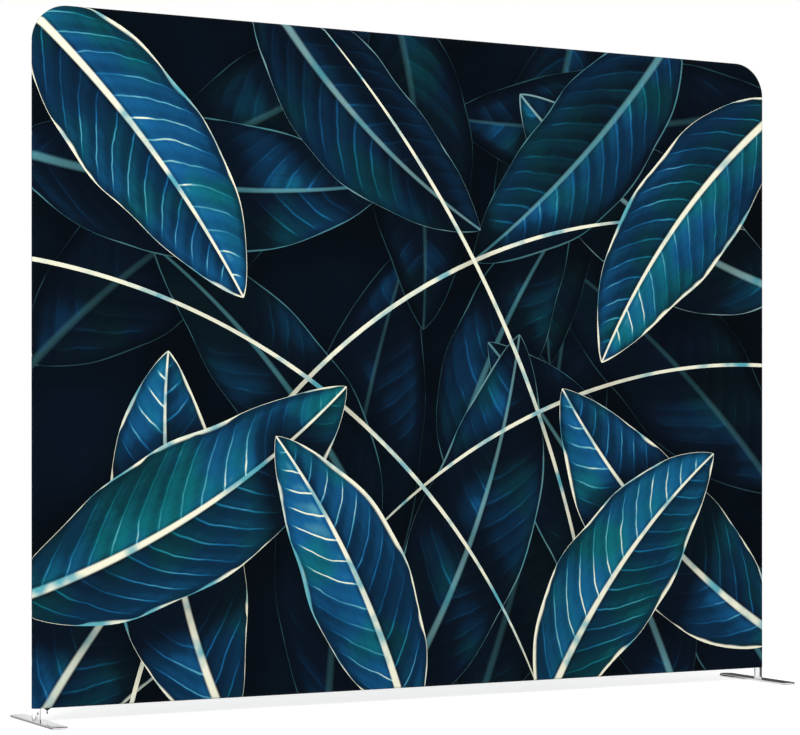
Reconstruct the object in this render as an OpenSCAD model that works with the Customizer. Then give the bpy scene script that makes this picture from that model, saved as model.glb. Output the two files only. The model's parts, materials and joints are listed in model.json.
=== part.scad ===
// Tension-fabric room divider.
// A tube frame with two rounded upper corners stands on two flat foot plates.
// A sleeve of stretch cloth is pulled down over the frame and zipped shut under the bottom bar.
// Origin: middle of the divider on the floor. X runs along the width, the front faces -Y, Z is up.

/* [Overall] */
// Width over the outer edges of the cover
total_w = 2500; // [1800:50:3200]
// Height from the floor to the top edge of the cover
total_h = 2000; // [1600:50:2400]
// Bare leg between the foot plate and the cover
leg_gap = 34; // [30:1:60]

/* [Frame tube] */
// Outer diameter of the frame tube
tube_d = 25; // [24:1:32]
// Wall of the frame tube
tube_wall = 1.5; // [1:0.1:2]
// Centre-line radius of the two upper corners
bend_r = 92; // [60:2:200]
// Straight length of the upper upright past its corner bend
bend_tail = 80; // [75:5:150]
// Height of the splice in each upright above the floor
splice_h = 1000; // [700:10:1300]
// Slit between two tubes that butt at a splice
butt_slit = 0.2; // [0.1:0.1:1]

/* [Inner sleeves] */
// Length of the inner sleeve at a splice
sleeve_l = 100; // [80:2:140]
// Wall of the inner sleeves, the side stubs and the foot spigots
sleeve_wall = 1.5; // [1:0.1:2]
// Running play between a sleeve and the tube around it, on the radius
sleeve_play = 0.05; // [0.03:0.01:0.2]
// Length of the welded side stub that carries the bottom bar, from the upright's centre line
side_stub_l = 90; // [85:1:130]
// Gap between the upright and the end of the bottom bar
stub_gap = 1; // [0.5:0.5:3]

/* [Snap buttons] */
// Diameter of a button
button_d = 6; // [5:0.5:7]
// How far a button stands proud of the tube
button_out = 1.8; // [1:0.1:2.5]
// Play around a button in its holes, on the radius
button_play = 0.2; // [0.1:0.1:0.5]
// Diameter of the flange that holds a button inside its sleeve
flange_d = 9; // [8:0.5:10]
// Thickness of that flange
flange_t = 1.2; // [0.8:0.1:1.5]
// Distance from a splice to its button
snap_off = 25; // [20:1:34]
// Distance from the upright's centre line to the button of its side stub
stub_snap = 40; // [32:1:44]
// Height of the foot button above the plate
foot_snap_up = 21; // [18:1:24]
// Length of the folded leaf spring behind a button
spring_l = 36; // [30:1:40]
// Width of the leaf spring
spring_w = 7; // [5:0.5:8]
// Thickness of the leaf spring
spring_t = 0.8; // [0.5:0.1:1]
// Play between the parts of a snap fitting
snap_play = 0.2; // [0.1:0.1:0.3]

/* [Sleeve rivets] */
// Diameter of a rivet that holds a sleeve in its tube
rivet_d = 4; // [3:0.5:5]
// Diameter of the rivet head
rivet_head_d = 7; // [6:0.5:9]
// Thickness of the rivet head
rivet_head_t = 1; // [0.6:0.1:1.5]
// Diameter of the bulb on the blind end
rivet_bulb_d = 5.2; // [5.1:0.1:6]
// Length of that bulb
rivet_bulb_l = 1.5; // [1:0.1:2]
// Play around the rivet in its holes, on the radius
rivet_play = 0.1; // [0.05:0.05:0.2]
// Distance from a splice to its rivet
rivet_off = 26; // [22:1:34]

/* [Feet] */
// Length of a foot plate, front to back
foot_l = 370; // [300:10:600]
// Width of a foot plate
foot_w = 50; // [44:1:90]
// Thickness of a foot plate
foot_t = 6; // [5:0.5:10]
// How far the leg stands outward of the plate's middle
foot_shift = 6; // [0:1:8]
// Chamfer along the top rim of a foot plate
foot_edge = 0.8; // [0.4:0.1:1.5]
// Height of the spigot that the upright slides over
spigot_l = 100; // [90:5:150]
// Solid base of the spigot
spigot_base = 11; // [10:1:13]
// Diameter of the rubber pads
pad_d = 32; // [20:1:40]
// Thickness of the rubber pads
pad_t = 2; // [1:0.5:4]
// Pads under each plate
pad_count = 4; // [2:1:6]
// Distance from the plate's end to the centre of its last pad
pad_inset = 30; // [25:1:60]

/* [Foot screws] */
// Diameter of the countersunk screws that hold a spigot to its plate
screw_d = 5; // [4:0.5:6]
// Diameter of the screw head
screw_head_d = 9; // [8:0.5:9.5]
// Height of the conical screw head
screw_head_h = 2.5; // [2:0.1:3]
// Length of the screw, head included
screw_l = 14; // [11:1:15]
// Distance between the two screws of a foot
screw_pitch = 11; // [10:0.5:12]
// Play around the screws, on the radius
screw_play = 0.1; // [0.05:0.05:0.2]
// Depth left free past the screw's tip
screw_tip_gap = 1; // [0.5:0.5:1]
// Hexagon socket across its flats
socket_af = 3; // [2.5:0.5:4]
// Depth of the hexagon socket
socket_h = 1.8; // [1:0.1:2.2]

/* [Cover] */
// Thickness of the cloth
cover_t = 0.6; // [0.4:0.1:1]
// Gap between the cloth and the tubes
cover_gap = 0.3; // [0.2:0.1:0.6]
// Outside radius of the cloth where it turns under the bottom bar
hem_r = 7; // [5:0.5:8]
// Half width of the slot that the zip closes
slot_half = 3.6; // [3.5:0.1:4]
// Gap between the bottom bar and the cloth under it
bar_drop = 3; // [2.8:0.1:5]

/* [Zip] */
// Distance from the leg to the end of the zip
zip_inset = 6; // [5:1:40]
// Thickness of the zip tape
tape_t = 0.6; // [0.4:0.1:0.8]
// Width of the row of coils on one tape
coil_w = 2.2; // [1.8:0.1:2.5]
// Height of the coils
coil_h = 2.2; // [1.8:0.1:2.6]
// Gap between the two rows of coils
coil_gap = 1.4; // [1.2:0.1:1.8]
// Length of an end stop
stop_l = 2; // [2:0.5:5]
// Distance from an end stop to the end of its tape
stop_inset = 3; // [3:0.5:8]

/* [Zip slider] */
// Length of the slider
slider_l = 16; // [12:1:18]
// Width of the slider
slider_w = 9; // [8.6:0.1:11]
// Thickness of its lower plate
slider_t = 1.2; // [0.8:0.1:1.5]
// Width of its upper plate
slider_top_w = 8; // [6:0.5:9]
// Thickness of its upper plate
slider_top_t = 1; // [0.7:0.1:1.1]
// Share of the slider's upper plate that is left at its narrow end
slider_nose = 0.7; // [0.5:0.05:1]
// Length of the post between the two plates
core_l = 4; // [3:0.5:6]
// Running gap around the slider
slider_play = 0.3; // [0.25:0.05:0.35]
// Diameter of the pin that the pull hangs on
pull_pin_d = 1.4; // [1:0.1:1.8]
// Drop of that pin below the slider
pull_pin_drop = 4.2; // [3.6:0.1:5]
// Width of the pull's eye, between the slider's lugs
eye_w = 3; // [2:0.2:4]
// Outside diameter of the pull's eye
eye_d = 4.4; // [4:0.1:4.6]
// Thickness of the slider's lugs
lug_t = 1; // [0.7:0.1:1.3]
// Outside diameter of the slider's lugs
lug_d = 2.8; // [2.4:0.1:3.4]
// Length of a lug where it leaves the slider
lug_root_l = 15; // [8:1:15]
// Reach of the pull below its pin
pull_l = 10; // [9:1:20]
// Length of the pull's neck, from its pin to its grip
pull_neck_l = 3; // [2.8:0.1:4]
// Width of the pull's grip
pull_w = 9; // [5:0.5:10]
// Thickness of the pull's grip
pull_t = 1.8; // [1:0.1:2.4]

/* [Hidden] */
$fn = 64;
eps = 0.01;

LEFT = -1;
RIGHT = 1;

// Radii of the tube, the sleeve inside it and the cloth around it
tube_r = tube_d / 2;
bore_r = tube_r - tube_wall;
sleeve_r = bore_r - sleeve_play;
sleeve_bore_r = sleeve_r - sleeve_wall;
cloth_in_r = tube_r + cover_gap;
cloth_r = cloth_in_r + cover_t;

// Where the tubes run
post_x = total_w / 2 - cloth_r;
top_z = total_h - cloth_r;
plate_top = pad_t + foot_t;
cover_low = plate_top + leg_gap;
bar_z = cover_low + cover_t + bar_drop + tube_r;
foot_x = post_x - foot_shift;
bend_x = post_x - bend_r;
bend_z = top_z - bend_r;
top_joint_x = bend_x - bend_tail;
foot_snap_z = plate_top + foot_snap_up;

// Snap fitting, measured from the tube's centre line towards the button's face
flange_top = sqrt(pow(sleeve_bore_r, 2) - pow(flange_d / 2, 2)) - snap_play;
spring_top = flange_top - flange_t - snap_play / 2;
spring_low = snap_play - sqrt(pow(sleeve_bore_r, 2) - pow(spring_w / 2, 2));
bulb_top = sqrt(pow(sleeve_bore_r, 2) - pow(rivet_bulb_d / 2, 2)) - rivet_play;
hole_reach = tube_d;

// Zip, measured up from the lower edge of the cover
zip_half = post_x - tube_r - zip_inset;
coil_half = zip_half - stop_inset - stop_l;
tape_low = cover_low + cover_t;
tape_top = tape_low + tape_t;
tape_out = cloth_r - hem_r;
coil_low = tape_low - coil_h;
slider_x = -coil_half + slider_play + slider_l / 2;
slider_up = coil_low - slider_play;
slider_low = slider_up - slider_t;
core_w = coil_gap - 2 * slider_play;
guide_in = coil_gap / 2 + coil_w + slider_play;
guide_up = cover_low - slider_play;
pin_z = slider_low - pull_pin_drop;
lug_in = eye_w / 2 + slider_play;

// Places the left half as drawn, or its mirror image for the right half.
module on_side(side) {
    mirror([side == RIGHT ? 1 : 0, 0, 0]) children();
}

// Frames of the splices: +Z into the tube with the button, +X to the inside of the frame.
module upright_splice(side) {
    on_side(side) translate([-post_x, 0, splice_h]) children();
}

module top_end_splice(side) {
    on_side(side) translate([-top_joint_x, 0, top_z]) rotate([0, 90, 0]) children();
}

module top_middle_splice() {
    translate([0, 0, top_z]) rotate([0, 90, 0]) children();
}

module bottom_end_splice(side) {
    on_side(side) translate([-post_x, 0, bar_z]) rotate([180, 0, 0]) rotate([0, 90, 0]) children();
}

module bottom_middle_splice() {
    translate([0, 0, bar_z]) rotate([180, 0, 0]) rotate([0, 90, 0]) children();
}

// Frames of the buttons: +X out through the button, +Z along its leaf spring.
module sleeve_snap() {
    translate([0, 0, snap_off]) mirror([0, 0, 1]) children();
}

module stub_snap_place() {
    translate([0, 0, stub_snap]) children();
}

// Both feet are the same part, so the right one is turned round and its button faces the back.
module foot_snap(side) {
    rotate([0, 0, side == RIGHT ? 180 : 0]) translate([-post_x, 0, foot_snap_z]) rotate([0, 0, -90]) children();
}

module pipe(r_out, r_in, l) {
    difference() {
        cylinder(r = r_out, h = l);
        translate([0, 0, -eps]) cylinder(r = r_in, h = l + 2 * eps);
    }
}

module button_hole() {
    rotate([0, 90, 0]) cylinder(r = button_d / 2 + button_play, h = hole_reach);
}

module rivet_hole() {
    translate([0, 0, -rivet_off]) rotate([0, 90, 0]) cylinder(r = rivet_d / 2 + rivet_play, h = hole_reach);
}

module horizontal_tube(from_x, to_x, z) {
    translate([from_x, 0, z]) rotate([0, 90, 0]) pipe(tube_r, bore_r, to_x - from_x);
}

// Frame tubes
module lower_upright(side) {
    color("silver") difference() {
        on_side(side) union() {
            translate([-post_x, 0, plate_top]) cylinder(r = tube_r, h = splice_h - butt_slit / 2 - plate_top);
            translate([-post_x, 0, bar_z]) rotate([0, 90, 0]) cylinder(r = sleeve_r, h = side_stub_l);
        }
        on_side(side) {
            translate([-post_x, 0, plate_top - eps]) cylinder(r = bore_r, h = splice_h);
            translate([-post_x + tube_r - tube_wall / 2, 0, bar_z])
                rotate([0, 90, 0]) cylinder(r = sleeve_bore_r, h = side_stub_l);
        }
        foot_snap(side) button_hole();
        upright_splice(side) rivet_hole();
        bottom_end_splice(side) stub_snap_place() button_hole();
    }
}

module upper_upright_straight(side) {
    difference() {
        on_side(side) translate([-post_x, 0, splice_h + butt_slit / 2])
            pipe(tube_r, bore_r, bend_z - splice_h - butt_slit / 2);
        upright_splice(side) sleeve_snap() button_hole();
    }
}

module upper_upright_bend(side) {
    on_side(side) translate([-bend_x, 0, bend_z]) rotate([90, -90, 0]) rotate_extrude(angle = 90)
        translate([bend_r, 0]) difference() {
            circle(r = tube_r);
            circle(r = bore_r);
        }
}

module upper_upright_tail(side) {
    difference() {
        on_side(side) horizontal_tube(-bend_x, -top_joint_x - butt_slit / 2, top_z);
        top_end_splice(side) rivet_hole();
    }
}

module upper_upright(side) {
    color("silver") union() {
        upper_upright_straight(side);
        upper_upright_bend(side);
        upper_upright_tail(side);
    }
}

module top_left_tube() {
    color("silver") difference() {
        horizontal_tube(-top_joint_x + butt_slit / 2, -butt_slit / 2, top_z);
        top_end_splice(LEFT) sleeve_snap() button_hole();
        top_middle_splice() rivet_hole();
    }
}

module top_right_tube() {
    color("silver") difference() {
        horizontal_tube(butt_slit / 2, top_joint_x - butt_slit / 2, top_z);
        top_end_splice(RIGHT) sleeve_snap() button_hole();
        top_middle_splice() sleeve_snap() button_hole();
    }
}

module bottom_left_tube() {
    color("silver") difference() {
        horizontal_tube(-post_x + tube_r + stub_gap, -butt_slit / 2, bar_z);
        bottom_end_splice(LEFT) stub_snap_place() button_hole();
        bottom_middle_splice() rivet_hole();
    }
}

module bottom_right_tube() {
    color("silver") difference() {
        horizontal_tube(butt_slit / 2, post_x - tube_r - stub_gap, bar_z);
        bottom_end_splice(RIGHT) stub_snap_place() button_hole();
        bottom_middle_splice() sleeve_snap() button_hole();
    }
}

// Inner sleeve, drawn in the frame of its splice
module inner_sleeve() {
    color("gainsboro") difference() {
        translate([0, 0, -sleeve_l / 2]) pipe(sleeve_r, sleeve_bore_r, sleeve_l);
        sleeve_snap() button_hole();
        rivet_hole();
    }
}

module sleeve_rivet() {
    translate([0, 0, -rivet_off]) rotate([0, 90, 0]) union() {
        translate([0, 0, tube_r]) cylinder(d = rivet_head_d, h = rivet_head_t);
        translate([0, 0, bulb_top]) cylinder(d = rivet_d, h = tube_r - bulb_top);
        translate([0, 0, bulb_top - rivet_bulb_l]) cylinder(d = rivet_bulb_d, h = rivet_bulb_l);
    }
}

module sleeve_rivets() {
    color("gray") {
        for (side = [LEFT, RIGHT]) {
            upright_splice(side) sleeve_rivet();
            top_end_splice(side) sleeve_rivet();
        }
        top_middle_splice() sleeve_rivet();
        bottom_middle_splice() sleeve_rivet();
    }
}

// Snap button: a domed peg with a flange that bears on the bore of its sleeve
module snap_button() {
    color("darkgray") rotate([0, 90, 0]) union() {
        translate([0, 0, flange_top - flange_t]) cylinder(d = flange_d, h = flange_t);
        translate([0, 0, flange_top]) cylinder(d = button_d, h = tube_r + button_out / 3 - flange_top);
        translate([0, 0, tube_r + button_out / 3])
            cylinder(d1 = button_d, d2 = button_d - button_out, h = button_out * 2 / 3);
    }
}

// Leaf spring folded like a V: one leg behind the flange, the other along the far wall of the bore
module snap_spring() {
    half = flange_d / 2;
    color("dimgray") rotate([90, 0, 0]) translate([0, 0, -spring_w / 2]) linear_extrude(spring_w)
        polygon([
            [spring_low, -half],
            [spring_low, spring_l],
            [spring_low + 2 * spring_t, spring_l],
            [spring_top, half],
            [spring_top, -half],
            [spring_top - spring_t, -half],
            [spring_top - spring_t, half],
            [spring_low + spring_t, spring_l - 3 * spring_t],
            [spring_low + spring_t, -half]
        ]);
}

// Feet
module plate_section() {
    polygon([
        [0, 0],
        [foot_w / 2, 0],
        [foot_w / 2, foot_t - foot_edge],
        [foot_w / 2 - foot_edge, foot_t],
        [0, foot_t]
    ]);
}

module plate_blank() {
    straight = foot_l - foot_w;
    union() {
        for (m = [0, 1]) mirror([m, 0, 0])
            translate([0, straight / 2, 0]) rotate([90, 0, 0]) linear_extrude(straight) plate_section();
        for (m = [0, 1]) mirror([0, m, 0])
            translate([0, straight / 2, 0]) rotate_extrude(angle = 180) plate_section();
    }
}

module screw_places() {
    for (s = [-1, 1]) translate([0, s * screw_pitch / 2, 0]) children();
}

module foot_plate(side) {
    color("silver") difference() {
        translate([side * foot_x, 0, pad_t]) plate_blank();
        translate([side * post_x, 0, pad_t]) screw_places() {
            translate([0, 0, -eps]) cylinder(r = screw_d / 2 + screw_play, h = foot_t + 2 * eps);
            cylinder(d1 = screw_head_d + 2 * screw_play, d2 = screw_d + 2 * screw_play, h = screw_head_h);
        }
    }
}

module foot_spigot(side) {
    color("gainsboro") difference() {
        translate([side * post_x, 0, plate_top]) difference() {
            cylinder(r = sleeve_r, h = spigot_l);
            translate([0, 0, spigot_base]) cylinder(r = sleeve_bore_r, h = spigot_l);
            screw_places() translate([0, 0, -eps])
                cylinder(r = screw_d / 2 + screw_play, h = screw_l - foot_t + screw_tip_gap + eps);
        }
        foot_snap(side) button_hole();
    }
}

module foot_screw() {
    difference() {
        union() {
            cylinder(d1 = screw_head_d, d2 = screw_d, h = screw_head_h);
            cylinder(d = screw_d, h = screw_l);
        }
        translate([0, 0, -eps]) cylinder(d = socket_af / cos(30), h = socket_h, $fn = 6);
    }
}

module foot_screws() {
    color("gray") for (side = [LEFT, RIGHT])
        translate([side * post_x, 0, pad_t]) screw_places() foot_screw();
}

module foot_pads() {
    reach = foot_l / 2 - pad_inset;
    step = 2 * reach / (pad_count - 1);
    color("dimgray") for (side = [LEFT, RIGHT], i = [0 : pad_count - 1])
        translate([side * foot_x, -reach + step * i, 0]) cylinder(d = pad_d, h = pad_t);
}

// Cover: each half is drawn lying down, with X along the width, Y up the divider and Z out of its face
module quarter_ring(sx, sy, r_out) {
    intersection() {
        difference() {
            circle(r = r_out);
            circle(r = r_out - cover_t);
        }
        translate([sx < 0 ? -cloth_r : 0, sy < 0 ? -cloth_r : 0]) square(cloth_r);
    }
}

module cover_face() {
    union() {
        translate([-zip_half, cover_low + hem_r]) square([2 * zip_half, bend_z - cover_low - hem_r]);
        translate([-bend_x, bend_z]) square([2 * bend_x, bend_r]);
        for (m = [0, 1]) mirror([m, 0, 0]) {
            translate([zip_half, cover_low]) square([post_x - zip_half, bend_z - cover_low]);
            translate([bend_x, bend_z]) intersection() {
                circle(r = bend_r);
                square(bend_r);
            }
        }
    }
}

module cover_edge_right() {
    translate([post_x, cover_low, 0]) rotate([-90, 0, 0])
        linear_extrude(bend_z - cover_low) quarter_ring(1, -1, cloth_r);
    translate([bend_x, bend_z, 0]) rotate_extrude(angle = 90)
        translate([bend_r, 0]) quarter_ring(1, 1, cloth_r);
}

module cover_edge_top() {
    translate([-bend_x, top_z, 0]) rotate([0, 90, 0])
        linear_extrude(2 * bend_x) quarter_ring(-1, 1, cloth_r);
}

module cover_hem() {
    translate([-zip_half, cover_low + hem_r, cloth_r - hem_r]) rotate([0, 90, 0])
        linear_extrude(2 * zip_half) quarter_ring(-1, -1, hem_r);
    translate([-zip_half, cover_low, slot_half])
        cube([2 * zip_half, cover_t, cloth_r - hem_r - slot_half]);
}

module cover_half() {
    union() {
        translate([0, 0, cloth_in_r]) linear_extrude(cover_t) cover_face();
        cover_edge_right();
        mirror([1, 0, 0]) cover_edge_right();
        cover_edge_top();
        cover_hem();
    }
}

module cover_front() {
    color("teal") rotate([90, 0, 0]) cover_half();
}

module cover_back() {
    color("teal") mirror([0, 1, 0]) rotate([90, 0, 0]) cover_half();
}

// Zip along the underside of the bottom bar
module zip_tape(face) {
    color("midnightblue") translate([-zip_half, face > 0 ? coil_gap / 2 : -tape_out, tape_low])
        cube([2 * zip_half, tape_out - coil_gap / 2, tape_t]);
}

module zip_coil(face) {
    color("black") translate([-coil_half, face > 0 ? coil_gap / 2 : -coil_gap / 2 - coil_w, coil_low])
        cube([2 * coil_half, coil_w, coil_h]);
}

module zip_stops() {
    color("dimgray") for (side = [LEFT, RIGHT])
        translate([side * (coil_half + stop_l / 2), 0, coil_low + coil_h / 2])
            cube([stop_l, coil_gap + 2 * coil_w, coil_h], center = true);
}

module slider_plate(w, nose) {
    polygon([
        [-slider_l / 2, -nose / 2],
        [-slider_l / 6, -w / 2],
        [slider_l / 2, -w / 2],
        [slider_l / 2, w / 2],
        [-slider_l / 6, w / 2],
        [-slider_l / 2, nose / 2]
    ]);
}

module zip_slider() {
    color("dimgray") translate([slider_x, 0, 0]) union() {
        translate([0, 0, slider_low]) linear_extrude(slider_t) slider_plate(slider_w, 2 * guide_in);
        translate([0, 0, tape_top + slider_play])
            linear_extrude(slider_top_t) slider_plate(slider_top_w, slider_top_w * slider_nose);
        translate([-core_l / 2, -core_w / 2, slider_up])
            cube([core_l, core_w, tape_top + slider_play - slider_up]);
        for (m = [0, 1]) mirror([0, m, 0]) {
            translate([-slider_l / 6, guide_in, slider_up])
                cube([slider_l * 2 / 3, slider_w / 2 - guide_in, guide_up - slider_up]);
            slider_lug();
        }
        translate([0, 0, pin_z]) rotate([90, 0, 0]) cylinder(d = pull_pin_d, h = 2 * lug_in, center = true);
    }
}

// Lug that narrows from the slider's plate down to the pin
module slider_lug() {
    translate([0, lug_in + lug_t, pin_z]) rotate([90, 0, 0]) union() {
        cylinder(d = lug_d, h = lug_t);
        linear_extrude(lug_t) polygon([
            [-lug_d / 2, 0],
            [lug_d / 2, 0],
            [lug_root_l / 2, pull_pin_drop],
            [-lug_root_l / 2, pull_pin_drop]
        ]);
    }
}

// The pull's neck swings between the lugs, and its wide grip starts beyond them
module zip_pull() {
    eye_bore = pull_pin_d / 2 + slider_play;
    color("darkgray") translate([slider_x, 0, pin_z]) difference() {
        union() {
            rotate([90, 0, 0]) cylinder(d = eye_d, h = eye_w, center = true);
            translate([-pull_t / 2, -eye_w / 2, -pull_neck_l - pull_t])
                cube([pull_t, eye_w, pull_neck_l + pull_t]);
            translate([-pull_t / 2, 0, 0]) rotate([90, 0, 90]) linear_extrude(pull_t) polygon([
                [-eye_w / 2, -pull_neck_l],
                [-pull_w / 2, -pull_neck_l - pull_t],
                [-pull_w / 3, -pull_l],
                [pull_w / 3, -pull_l],
                [pull_w / 2, -pull_neck_l - pull_t],
                [eye_w / 2, -pull_neck_l]
            ]);
        }
        rotate([90, 0, 0]) cylinder(r = eye_bore, h = 2 * eye_w, center = true);
    }
}

lower_upright(LEFT);  // lower_left_upright
lower_upright(RIGHT);  // lower_right_upright
upper_upright(LEFT);  // upper_left_upright
upper_upright(RIGHT);  // upper_right_upright
top_left_tube();
top_right_tube();
bottom_left_tube();
bottom_right_tube();
upright_splice(LEFT) inner_sleeve();  // left_upright_sleeve
upright_splice(RIGHT) inner_sleeve();  // right_upright_sleeve
top_end_splice(LEFT) inner_sleeve();  // top_left_sleeve
top_middle_splice() inner_sleeve();  // top_middle_sleeve
top_end_splice(RIGHT) inner_sleeve();  // top_right_sleeve
bottom_middle_splice() inner_sleeve();  // bottom_middle_sleeve
sleeve_rivets();
foot_plate(LEFT);  // left_foot_plate
foot_plate(RIGHT);  // right_foot_plate
foot_spigot(LEFT);  // left_foot_spigot
foot_spigot(RIGHT);  // right_foot_spigot
foot_screws();
foot_pads();
foot_snap(LEFT) snap_button();  // left_foot_button
foot_snap(RIGHT) snap_button();  // right_foot_button
upright_splice(LEFT) sleeve_snap() snap_button();  // left_upright_button
upright_splice(RIGHT) sleeve_snap() snap_button();  // right_upright_button
top_end_splice(LEFT) sleeve_snap() snap_button();  // top_left_button
top_middle_splice() sleeve_snap() snap_button();  // top_middle_button
top_end_splice(RIGHT) sleeve_snap() snap_button();  // top_right_button
bottom_end_splice(LEFT) stub_snap_place() snap_button();  // bottom_left_button
bottom_middle_splice() sleeve_snap() snap_button();  // bottom_middle_button
bottom_end_splice(RIGHT) stub_snap_place() snap_button();  // bottom_right_button
foot_snap(LEFT) snap_spring();  // left_foot_spring
foot_snap(RIGHT) snap_spring();  // right_foot_spring
upright_splice(LEFT) sleeve_snap() snap_spring();  // left_upright_spring
upright_splice(RIGHT) sleeve_snap() snap_spring();  // right_upright_spring
top_end_splice(LEFT) sleeve_snap() snap_spring();  // top_left_spring
top_middle_splice() sleeve_snap() snap_spring();  // top_middle_spring
top_end_splice(RIGHT) sleeve_snap() snap_spring();  // top_right_spring
bottom_end_splice(LEFT) stub_snap_place() snap_spring();  // bottom_left_spring
bottom_middle_splice() sleeve_snap() snap_spring();  // bottom_middle_spring
bottom_end_splice(RIGHT) stub_snap_place() snap_spring();  // bottom_right_spring
cover_front();
cover_back();
zip_tape(-1);  // zip_tape_front
zip_tape(1);  // zip_tape_back
zip_coil(-1);  // zip_coil_front
zip_coil(1);  // zip_coil_back
zip_stops();
zip_slider();
zip_pull();
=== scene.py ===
"""Room divider: a printed stretch-cloth cover on a tube frame with two flat feet.

Run as a script, this dresses the packed frame in cloth, metal, rubber and zip, and sets up a plain studio.
"""

import json
import math

import bmesh
import bpy
import numpy as np
from bpy.props import FloatProperty, FloatVectorProperty, IntProperty, PointerProperty
from mathutils import Matrix, Vector
from mathutils.geometry import delaunay_2d_cdt

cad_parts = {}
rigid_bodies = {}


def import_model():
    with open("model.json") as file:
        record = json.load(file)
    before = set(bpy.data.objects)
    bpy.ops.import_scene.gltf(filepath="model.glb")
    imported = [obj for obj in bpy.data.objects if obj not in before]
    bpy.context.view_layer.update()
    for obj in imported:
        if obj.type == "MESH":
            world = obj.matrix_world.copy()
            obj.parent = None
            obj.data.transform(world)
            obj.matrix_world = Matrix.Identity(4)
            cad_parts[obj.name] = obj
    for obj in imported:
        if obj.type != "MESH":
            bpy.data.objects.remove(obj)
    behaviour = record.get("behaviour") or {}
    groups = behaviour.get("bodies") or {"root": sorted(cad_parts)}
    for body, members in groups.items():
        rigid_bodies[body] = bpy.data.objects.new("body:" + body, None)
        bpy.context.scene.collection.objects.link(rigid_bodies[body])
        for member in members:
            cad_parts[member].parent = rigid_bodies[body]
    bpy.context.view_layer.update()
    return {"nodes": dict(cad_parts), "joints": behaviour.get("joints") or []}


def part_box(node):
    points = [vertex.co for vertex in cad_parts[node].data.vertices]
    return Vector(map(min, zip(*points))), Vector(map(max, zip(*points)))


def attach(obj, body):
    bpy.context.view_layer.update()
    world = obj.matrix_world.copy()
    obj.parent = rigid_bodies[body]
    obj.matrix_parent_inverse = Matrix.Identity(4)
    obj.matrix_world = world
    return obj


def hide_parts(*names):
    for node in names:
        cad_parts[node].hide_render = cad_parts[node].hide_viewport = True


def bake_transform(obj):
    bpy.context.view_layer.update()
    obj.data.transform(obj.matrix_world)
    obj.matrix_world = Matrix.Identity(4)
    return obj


bl_info = {
    "name": "Stretch-cloth room divider",
    "version": (1, 0, 0),
    "blender": (4, 5, 0),
    "location": "3D View > Sidebar > Divider",
    "description": "Dresses a tube-frame room divider in printed cloth, metal, rubber and zip",
    "category": "Object",
}

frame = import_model()

# Places read from the packed frame
COVER_LOW, COVER_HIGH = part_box("cover_front")
TUBE_LOW, TUBE_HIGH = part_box("bottom_left_tube")
TAPE_LOW, TAPE_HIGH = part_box("zip_tape_front")
TUBE_R = (TUBE_HIGH.y - TUBE_LOW.y) / 2
CLOTH_R = -COVER_LOW.y
POST_X = COVER_HIGH.x - CLOTH_R
TOP_Z = COVER_HIGH.z - CLOTH_R
COVER_Z = COVER_LOW.z
ZIP_HALF = TAPE_HIGH.x
HEM_R = CLOTH_R + TAPE_LOW.y
SIDES = {"left": -1, "right": 1}

# Small fixed measures, in metres
WELD = 2e-6
BUTTON_R = 0.003
COLLAR_R = 0.0045
COLLAR_H = 0.0012
DOME_H = 0.0016
PAD_R = 0.016
GRIP_R = PAD_R * 0.86
PAD_EDGE = 0.0004
GROOVE_H = 0.0006

# Fixed counts, and the angle in radians between the points of a plate's round ends
ROUND_STEP = 0.055
HOLE_SIDES = 24
ROLL_STEPS = 6
DOME_STEPS = 8
PAD_COUNT = 4


def linear(code):
    """A written colour such as 0b1c2c as linear red, green and blue."""
    parts = [int(code[i:i + 2], 16) / 255 for i in (0, 2, 4)]
    return tuple(c / 12.92 if c <= 0.04045 else ((c + 0.055) / 1.055) ** 2.4 for c in parts)


def toned(colour, gain):
    return tuple(min(1, c * gain) for c in colour)


def number(label, about, default, **kind):
    return FloatProperty(name=label, description=about, default=default, **kind)


def size(label, about, default, least=0.0):
    return number(label, about, default, min=least, precision=5, subtype="DISTANCE", unit="LENGTH")


def share(label, about, default):
    return number(label, about, default, min=0, max=1, subtype="FACTOR")


def tint(label, about, code):
    return FloatVectorProperty(name=label, description=about, default=linear(code), min=0, max=1, size=3,
                               subtype="COLOR")


# Settings
class CoverSettings(bpy.types.PropertyGroup):
    """Cloth, print and seams of the cover"""
    cloth: size("Cloth thickness", "Thickness of the knitted polyester", 0.0006)
    corner: size("Corner radius", "Centre-line radius of the tube under the upper corners", 0.092)
    slot: size("Zip slot", "Half width of the slot that the zip closes", 0.0036)
    grid: size("Mesh grid", "Spacing of the mesh over the flat faces", 0.016, 0.004)
    rim_grid: size("Rim grid", "Spacing of the mesh along the wrapped edges", 0.006, 0.003)
    shrink: share("Stretch", "Share by which the cloth is cut smaller than the frame", 0.03)
    stitch: size("Stitch length", "Length of one stitch", 0.0028)
    stitch_step: size("Stitch step", "Distance from stitch to stitch", 0.0036)
    thread: size("Thread", "Thickness of the sewing thread", 0.0005)
    ink: tint("Ink", "Darkest ground between the leaves", "02070d")
    navy: tint("Navy", "Leaves in the shade, blue kind", "071423")
    pine: tint("Pine", "Leaves in the shade, teal kind", "07191f")
    dusk: tint("Dusk", "Leaves in half light, blue kind", "0b2e4a")
    deep: tint("Deep teal", "Leaves in half light, teal kind", "093a44")
    blue: tint("Blue", "Leaves in the light, blue kind", "176296")
    teal: tint("Teal", "Leaves in the light, teal kind", "107882")
    aqua: tint("Aqua", "Veins and lit bulges", "5fb0bd")
    cream: tint("Cream", "Ribs and leaf rims", "fcfae0")
    lining: tint("Lining", "Unprinted inside of the cloth", "dfe3e4")
    yarn: tint("Yarn", "Sewing thread", "0b1a26")


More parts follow.
